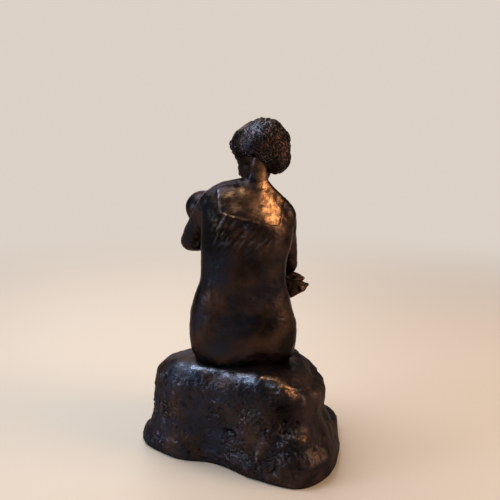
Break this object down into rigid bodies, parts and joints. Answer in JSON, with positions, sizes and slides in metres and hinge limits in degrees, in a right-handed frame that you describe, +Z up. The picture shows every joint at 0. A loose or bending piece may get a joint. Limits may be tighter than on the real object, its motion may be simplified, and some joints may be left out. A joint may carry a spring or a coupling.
{
  "type": "bronze mother and child sculpture",
  "caption": "Dark bronze figure group of a seated mother in a slip holding a child, cast in one piece with the rough rock she sits on.",
  "frame": {"origin": "On the flat underside of the rock, below the mother's spine.", "axes": "+Z up; the mother faces -Y, so her back is at +Y; +X is on her left."},
  "size_m": [0.1817, 0.1847, 0.2909],
  "materials": {
    "patinated_bronze": "dark brown wax patina, worn to warm brown on the high places"
  },
  "bodies": {
    "root": {"mother_and_child": "patinated_bronze"}
  },
  "joints": []
}
